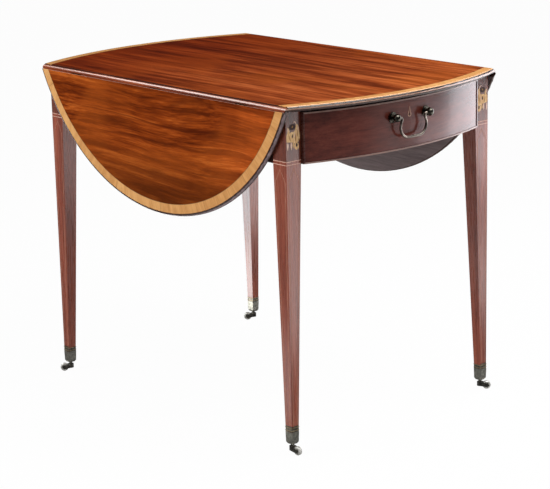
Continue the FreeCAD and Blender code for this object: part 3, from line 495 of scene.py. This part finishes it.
def on_ovolo(spot, normal):
    return abs(spot.x) > HINGE_X + SEAM_SLACK and abs(normal.y) < SIDE_ON


def on_fillet(spot, normal):
    """Upright strip between the flat of the top and its ovolo."""
    return abs(normal.x) > SQUARE_ON and abs(abs(spot.x) - HINGE_X) < SEAM_SLACK


def on_top_nose(spot, normal):
    reach = math.hypot(spot.x, abs(spot.y) + BOW_CENTRE)
    return normal.z > -SQUARE_ON and reach > BOW_RADIUS - EDGE_NOSE


def on_leaf_nose(spot, _):
    reach = leaf_levels(spot)[0] + HINGE_X - LEAF_CENTRE
    return math.hypot(spot.y, reach) > LEAF_RADIUS - EDGE_NOSE


def on_bead_highlight(spot, normal):
    """Front of the bead's lower run and of its upper run, both with a painted highlight."""
    return abs(normal.z) < SLANTED and not FRIEZE_LOW + BEAD_RUN < spot.z < BEAD_HIGH


reface("top_board", "bare", on_underside)
reface("top_board", "edge", on_top_nose)
reface("top_board", "ovolo", on_ovolo)
reface("top_board", "recess_shade", on_fillet)
for side in SIDES:
    reface(f"{side}_leaf", "lip", on_leaf_nose)
    # Painted highlight on the leaf's upward faces
    reface(f"{side}_leaf", "corner", on_upper_side)
    reface(f"{side}_leaf", "recess_shade", in_cove)
    reface(f"{side}_leaf", "bare", leaf_inside)
for bead in ("drawer_cock_bead", "back_cock_bead"):
    # Painted highlight on the bead's lower and upper runs
    reface(bead, "bead_highlight", on_bead_highlight)
    rounding = NODES[bead].modifiers.new("rounding", "BEVEL")
    rounding.width, rounding.segments, rounding.limit_method = BEAD_ROUND, BEAD_STEPS, "ANGLE"
# Painted shade on the rail's front, seen through the gap over the drawer
reface("drawer_top_rail", "recess_shade", on_front)


def piece(name, mesh_maker, finish, body):
    """A new piece on a body, with its own mesh and finish."""
    built = bmesh.new()
    mesh_maker(built)
    bmesh.ops.recalc_face_normals(built, faces=built.faces)
    mesh = bpy.data.meshes.new(name)
    built.to_mesh(mesh)
    built.free()
    mesh.materials.append(MATERIALS[finish])
    made = bpy.data.objects.new(name, mesh)
    bpy.context.scene.collection.objects.link(made)
    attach(made, body)


STRING_WIDTH = 0.0014
STRING_PROUD = 0.00012
STRING_SUNK = 0.0006


def plate(built, outline, normal):
    """Thin closed plate on a face: its outline drawn on the face, let in and standing just proud."""
    outward = Vector(normal)
    low = [built.verts.new(Vector(p) - outward * STRING_SUNK) for p in outline]
    high = [built.verts.new(Vector(p) + outward * STRING_PROUD) for p in outline]
    built.faces.new(high)
    built.faces.new(low[::-1])
    for index in range(len(outline)):
        after = (index + 1) % len(outline)
        built.faces.new((low[index], low[after], high[after], high[index]))


def string(built, start, end, normal, width=STRING_WIDTH):
    start, end = Vector(start), Vector(end)
    side = Vector(normal).cross(end - start).normalized() * width / 2
    plate(built, [start - side, end - side, end + side, start + side], normal)


def leg_width(height):
    share = (height - CUP_HIGH) / (FRIEZE_LOW - CUP_HIGH)
    return LEG_FOOT + (LEG_SQUARE - LEG_FOOT) * min(max(share, 0.0), 1.0)


STRING_INSET = 0.0045
STRING_LOW, ARCH_SPRING, ARCH_TOP = 0.055, 0.562, 0.588
COLLAR_HEIGHTS = (0.5970, 0.6035)


def leg_strings(sx, sy, collars):
    """Strings on the two outer faces of a leg: a double collar, or two uprights and a pointed arch."""
    def build(built):
        for face in ("x", "y"):
            normal = (sx, 0, 0) if face == "x" else (0, sy, 0)

            def spot(share, height, inset=STRING_INSET):
                """Point on the face: share 0 at the outer corner, 1 at the inner edge."""
                reach = inset + share * (leg_width(height) - 2 * inset)
                if face == "x":
                    return sx * LEG_X, sy * (LEG_Y - reach), height
                return sx * (LEG_X - reach), sy * LEG_Y, height

            if collars:
                for height in COLLAR_HEIGHTS:
                    string(built, spot(0, height, 0), spot(1, height, 0), normal)
                continue
            for share in (0, 1):
                string(built, spot(share, STRING_LOW), spot(share, ARCH_SPRING), normal)
                string(built, spot(share, ARCH_SPRING), spot(0.5, ARCH_TOP), normal)
    return build


RING_PROUD, RING_WIDTH = 0.0005, 0.0022
RING_HEIGHTS = (0.0512, 0.0572)
NECK_HEIGHT, NECK_WIDTH = 0.0545, 0.0126


def leg_rings(sx, sy, heights, width, proud):
    """Bands right round a leg just over its castor cup."""
    def build(built):
        for height in heights:
            reach = leg_width(height)
            out_x, in_x = sx * (LEG_X + proud), sx * (LEG_X - reach - proud)
            out_y, in_y = sy * (LEG_Y + proud), sy * (LEG_Y - reach - proud)
            for x, facing in ((out_x, sx), (in_x, -sx)):
                string(built, (x, out_y, height), (x, in_y, height), (facing, 0, 0), width)
            for y, facing in ((out_y, sy), (in_y, -sy)):
                string(built, (out_x, y, height), (in_x, y, height), (0, facing, 0), width)
    return build


def ring(centre, radius, turns, stretch=1.0):
    return [(centre[0] + radius * math.cos(t), centre[1] + stretch * radius * math.sin(t))
            for t in (2 * math.pi * i / turns for i in range(turns))]


LOBE_SKEW, LOBE_BLUNT = 0.75, 0.7


def lobe(foot, tip, width, turns=7):
    """Leaf or finger shape, round at its foot and narrower to its tip, as a closed outline."""
    foot, tip = Vector(foot), Vector(tip)
    run = tip - foot
    side = Vector((-run.y, run.x)).normalized()
    left, right = [], []
    for index in range(turns + 1):
        share = index / turns
        half = width / 2 * math.sin(math.pi * share ** LOBE_SKEW) ** LOBE_BLUNT if 0 < share < 1 else 0.0
        spine = foot + run * share
        left.append(spine + side * half)
        right.append(spine - side * half)
    return [tuple(p) for p in left + right[-2:0:-1]]


def curl(centre, radius, start, end, width, turns=10):
    """Arc that tapers to both its ends, as a closed outline."""
    outer, inner = [], []
    for index in range(turns + 1):
        share = index / turns
        angle = math.radians(start + (end - start) * share)
        half = width / 2 * math.sin(math.pi * share)
        ray = (math.cos(angle), math.sin(angle))
        outer.append((centre[0] + ray[0] * (radius + half), centre[1] + ray[1] * (radius + half)))
        inner.append((centre[0] + ray[0] * (radius - half), centre[1] + ray[1] * (radius - half)))
    return outer + inner[-2:0:-1]


PANEL_Z = 0.6480
MILLIMETRE = 0.001
# Outlines in millimetres about the panel's middle, u to the leg's inner side and v up
MARQUETRY_BODY = [
    (-17.5, -5), (-18.4, 2), (-17.6, 9), (-14.5, 13.5), (-10, 11.5), (-5, 14), (1, 13.2), (5, 16),
    (6.5, 23), (9.5, 27.5), (13, 26), (15, 20), (15.6, 13), (16.8, 6), (16.6, -2), (14, -7), (8, -9),
    (1, -10), (-3, -7), (-11, -6),
]
MARQUETRY = (
    ("petals", "petal", 0.0, [
        MARQUETRY_BODY, lobe((-11, 11), (-15, 24), 6), ring((8.3, -15.5), 6.2, 18, 1.2),
        lobe((0, -7), (-1, -19), 4),
    ]),
    ("flower", "flower", 0.00022, [
        ring((-2.5, 23.2), 8.6, 22, 0.68), ring((8.6, -13.5), 2.5, 14, 1.5),
        lobe((-2.5, 1), (-2, 9.5), 3.4),
    ]),
    ("shading", "petal_shade", 0.00030, [
        lobe((-8, -4), (-11, 8), 1.8), lobe((5.5, -6), (6.5, 9), 1.8), lobe((11, 2), (11.5, 17), 1.5),
        lobe((12.5, -6), (14.5, -1), 2.2), lobe((-4, 22), (0, 25.5), 3.2),
    ]),
    ("highlights", "petal_pale", 0.00036, [
        curl((2.6, 27.6), 5.0, 130, -45, 2.4), lobe((-15, -6), (-15.4, -22.5), 4.0),
        lobe((-6, -6), (-5.8, -22.5), 4.0), lobe((-13.8, 15), (-14.6, 22), 2.8),
        lobe((12.6, 14), (12.4, 25), 2.6), lobe((3, 1), (3.6, 12), 2.2),
    ]),
)
LAYER_STEP = 0.00002


def leg_marquetry(sx, sy, shapes, lift):
    """Inlaid flower and husks on the end face of a leg's square top, each shape a hair above the last."""
    def build(built):
        middle = sx * (LEG_X - LEG_SQUARE / 2)
        for index, outline in enumerate(shapes):
            level = sy * (LEG_Y + lift + index * LAYER_STEP)
            points = [(middle - sx * u * MILLIMETRE, level, PANEL_Z + v * MILLIMETRE) for u, v in outline]
            plate(built, points, (0, sy, 0))
    return build


for end, sy in ENDS.items():
    for side, sx in SIDES.items():
        leg = f"{end}_{side}_leg"
        piece(f"{leg}_collars", leg_strings(sx, sy, True), "collar", "frame")
        piece(f"{leg}_stringing", leg_strings(sx, sy, False), "string", "frame")
        rings = leg_rings(sx, sy, RING_HEIGHTS, RING_WIDTH, RING_PROUD)
        piece(f"{leg}_cup_rings", rings, "cup_ring", "frame")
        neck = leg_rings(sx, sy, (NECK_HEIGHT,), NECK_WIDTH, 0.0)
        piece(f"{leg}_cup_neck", neck, "horn", "frame")
        for layer, finish, lift, shapes in MARQUETRY:
            piece(f"{leg}_{layer}", leg_marquetry(sx, sy, shapes, lift), finish, "frame")

HINGE_STATIONS = (-0.272, 0.0, 0.272)
FIXED_SCREWS = ((0.009, -0.011), (0.009, 0.011), (0.020, 0.0))
MOVING_SCREWS = ((0.012, -0.011), (0.012, 0.011), (0.024, 0.0), (0.036, -0.011), (0.036, 0.011))
SCREW_RADIUS, SCREW_SLOT, SCREW_STEPS = 0.0034, 0.0009, 12
MOVING_PLATE_FACE = 0.001
# Angle of a screw's slot: where it starts, and how much its distance from the pin and to the side add
FIXED_TURN, MOVING_TURN = (0.7, 9, 40), (0.4, 50, 60)


def slot_turn(rates, reach, aside, station):
    start, by_reach, by_side = rates
    return start + by_reach * reach + by_side * aside + station


def screw_head(built, spot, across, forward, normal):
    """Flat countersunk head: two halves with the slot open between them."""
    spot, across, forward = Vector(spot), Vector(across), Vector(forward)
    rise = SCREW_RADIUS - SCREW_SLOT / 2
    for half in (-1, 1):
        outline = []
        for index in range(SCREW_STEPS + 1):
            angle = math.pi * index / SCREW_STEPS
            aside = half * (SCREW_SLOT / 2 + rise * math.sin(angle))
            outline.append(spot + forward * SCREW_RADIUS * math.cos(angle) + across * aside)
        plate(built, outline, normal)


def fixed_screws(built):
    """Screws up into the top through the fixed plates of the hinges, each slot at its own angle."""
    for sx in SIDES.values():
        for station in HINGE_STATIONS:
            for inward, aside in FIXED_SCREWS:
                turn = slot_turn(FIXED_TURN, inward, aside, station)
                spot = (sx * (HINGE_X - inward), station + aside, TOP_UNDERSIDE)
                across = (math.cos(turn), math.sin(turn), 0)
                forward = (-math.sin(turn), math.cos(turn), 0)
                screw_head(built, spot, across, forward, (0, 0, -1))


def moving_screws(sx):
    """Screws into a leaf through the moving plates, laid out as the leaf hangs."""
    def build(built):
        down = Vector((-sx * math.sin(LEAF_LEAN), 0, -math.cos(LEAF_LEAN)))
        inward = Vector((-sx * math.cos(LEAF_LEAN), 0, math.sin(LEAF_LEAN)))
        along_y = Vector((0, 1, 0))
        pin = Vector((sx * HINGE_X, 0, HINGE_Z))
        for station in HINGE_STATIONS:
            for reach, aside in MOVING_SCREWS:
                turn = slot_turn(MOVING_TURN, reach, aside, station)
                spot = pin + down * reach + inward * MOVING_PLATE_FACE + along_y * (station + aside)
                across = down * math.cos(turn) + along_y * math.sin(turn)
                forward = along_y * math.cos(turn) - down * math.sin(turn)
                screw_head(built, spot, across, forward, inward)
    return build


piece("top_hinge_screws", fixed_screws, "steel", "frame")
for side, sx in SIDES.items():
    piece(f"{side}_leaf_hinge_screws", moving_screws(sx), "steel", f"{side}_leaf")


# Where polished faces see the floor lit: place, turn, stretch, reach of the full light, where it has
# faded, and its level
FLOOR_POOLS = (
    ((0.55, -1.62, 0.0), 0.0, 1.0, 0.62, 1.0, 1.4),
    ((1.70, -2.60, 0.0), 0.0, 1.0, 0.35, 0.75, 1.9),
    ((-0.60, 0.00, 0.0), 0.0, 1.0, 0.20, 0.42, 0.8),
    ((1.30, -0.52, 0.0), 0.0, 1.0, 0.45, 0.70, 2.0),
    ((-0.03, 0.68, 0.0), 0.726, 2.2, 0.12, 0.17, 4.4),
)
FLOOR_DIM = 0.14
FLOOR_SIZE, FLOOR_LEVEL = 30, -0.0005
FLOOR_CAMERA_SHARE = 0.97
AMBIENT = 0.22
# How bright the surroundings are to polish, from near the horizon to overhead
SKY = (("From Min", 0.30), ("From Max", 0.85), ("To Min", 0.006), ("To Max", 0.5))


def floor_material():
    """Pale floor: white to the camera but for the soft shadow, dim with lit pools to polish."""
    shader = Shader("studio_floor")
    path = shader.tree.nodes.new("ShaderNodeLightPath").outputs
    seen = shader.math("MAXIMUM", path["Is Camera Ray"], path["Is Transmission Ray"])
    share = shader.math("MULTIPLY", seen, FLOOR_CAMERA_SHARE)
    share = shader.math("MAXIMUM", share, path["Is Glossy Ray"])
    mottle = shader.noise(shader.coords, 3.0, 2.0)
    colour = shader.ramp(mottle, [(0.3, (0.80, 0.80, 0.80)), (0.7, (0.84, 0.84, 0.84))])
    paper = shader.node("ShaderNodeBsdfDiffuse", {"Color": colour})
    lit = FLOOR_DIM
    for place, turn, stretch, near, far, level in FLOOR_POOLS:
        values = {"Vector": shader.coords, "Location": place, "Rotation": (0, 0, turn),
                  "Scale": (1, stretch, 1)}
        local = shader.node("ShaderNodeMapping", values, vector_type="TEXTURE")
        reach = shader.node("ShaderNodeVectorMath", {0: local}, "Value", operation="LENGTH")
        lit = shader.math("MAXIMUM", lit, shader.span(reach, near, far, level, FLOOR_DIM))
    bright = shader.math("MULTIPLY_ADD", path["Is Glossy Ray"], lit, seen)
    glow = shader.node("ShaderNodeEmission", {"Color": (1, 1, 1, 1), "Strength": bright})
    mixed = shader.node("ShaderNodeMixShader", {0: share, 1: paper, 2: glow})
    shader.tree.links.new(mixed, shader.output.inputs["Surface"])
    return shader.material


def studio():
    bpy.ops.mesh.primitive_plane_add(size=FLOOR_SIZE, location=(0, 0, FLOOR_LEVEL))
    floor = bpy.context.object
    floor.name = "floor"
    floor.data.materials.append(floor_material())
    world = bpy.data.worlds.new("studio")
    bpy.context.scene.world = world
    world.use_nodes = True
    nodes, links = world.node_tree.nodes, world.node_tree.links
    nodes.clear()
    path = nodes.new("ShaderNodeLightPath").outputs
    share = nodes.new("ShaderNodeMath")
    share.operation = "MAXIMUM"
    links.new(path["Is Camera Ray"], share.inputs[0])
    links.new(path["Is Transmission Ray"], share.inputs[1])
    facing = nodes.new("ShaderNodeSeparateXYZ")
    links.new(nodes.new("ShaderNodeTexCoord").outputs["Generated"], facing.inputs[0])
    sky = nodes.new("ShaderNodeMapRange")
    links.new(facing.outputs[2], sky.inputs["Value"])
    for key, value in SKY:
        sky.inputs[key].default_value = value
    ambient = nodes.new("ShaderNodeMix")
    links.new(path["Is Glossy Ray"], ambient.inputs[0])
    ambient.inputs[2].default_value = AMBIENT
    links.new(sky.outputs[0], ambient.inputs[3])
    strength = nodes.new("ShaderNodeMix")
    links.new(share.outputs[0], strength.inputs[0])
    links.new(ambient.outputs[0], strength.inputs[2])
    strength.inputs[3].default_value = 1.0
    background = nodes.new("ShaderNodeBackground")
    background.inputs["Color"].default_value = (1, 1, 1, 1)
    links.new(strength.outputs[0], background.inputs["Strength"])
    output = nodes.new("ShaderNodeOutputWorld")
    links.new(background.outputs[0], output.inputs["Surface"])


def softbox(name, place, target, size, power, colour=(1, 1, 1), diffuse=True):
    """Rectangular lamp turned to its target; with diffuse off it only shows in polish."""
    light = bpy.data.lights.new(name, "AREA")
    light.shape = "RECTANGLE"
    light.size, light.size_y = size
    light.energy = power
    light.color = colour
    made = bpy.data.objects.new(name, light)
    made.location = place
    made.rotation_mode = "QUATERNION"
    made.rotation_quaternion = (Vector(target) - Vector(place)).to_track_quat("-Z", "Y")
    made.visible_diffuse = diffuse
    bpy.context.scene.collection.objects.link(made)


COOL_WHITE, WARM_WHITE, PALE_BLUE = (0.97, 0.95, 1.0), (1.0, 0.90, 0.84), (0.82, 0.96, 1.0)
AZIMUTH, ELEVATION, ROLL = math.radians(-41.65), math.radians(14.67), math.radians(-1.29)
CAMERA_DISTANCE = 3.7478
CAMERA_TARGET = Vector((-0.2954, -0.3556, 0.4352))
FOCAL_PIXELS, FRAME_PIXELS, SENSOR = 1904.6, 550, 36.0


def camera():
    back = Vector((math.sin(AZIMUTH) * math.cos(ELEVATION), -math.cos(AZIMUTH) * math.cos(ELEVATION),
                   math.sin(ELEVATION)))
    right = Vector((0, 0, 1)).cross(back).normalized()
    up = back.cross(right)
    level_right, level_up = right, up
    right = level_right * math.cos(ROLL) + level_up * math.sin(ROLL)
    up = level_up * math.cos(ROLL) - level_right * math.sin(ROLL)
    data = bpy.data.cameras.new("photo_camera")
    data.sensor_fit = "HORIZONTAL"
    data.sensor_width = SENSOR
    data.lens = FOCAL_PIXELS * SENSOR / FRAME_PIXELS
    data.clip_start, data.clip_end = 0.05, 100
    made = bpy.data.objects.new("photo_camera", data)
    turn = Matrix((right, up, back)).transposed().to_4x4()
    made.matrix_world = Matrix.Translation(CAMERA_TARGET + back * CAMERA_DISTANCE) @ turn
    bpy.context.scene.collection.objects.link(made)
    bpy.context.scene.camera = made


studio()
softbox("overhead", (0.3, -0.85, 2.0), (0.0, -0.2, 0.7), (1.4, 1.4), 31)
softbox("right_panel", (2.1, -0.6, 0.75), (0, -0.4, 0.55), (1.2, 1.5), 27, COOL_WHITE)
softbox("right_wide", (2.1, -1.60, -0.06), (0.1, -0.4, -0.06), (1.0, 0.5), 6.5, COOL_WHITE, diffuse=False)
softbox("back_strip", (-1.0, 2.4, 2.9), (-0.3, 0.0, 0.7), (2.6, 0.8), 34, WARM_WHITE, diffuse=False)
softbox("far_panel", (-0.20, 0.88, 0.27), (0.27, 0.37, 0.30), (0.36, 0.5), 2.1, PALE_BLUE, diffuse=False)
softbox("left_fill", (-3.2, 0.6, 2.0), (-0.3, 0.0, 0.5), (1.6, 1.6), 72)
camera()
bpy.context.scene.view_settings.view_transform = "Standard"
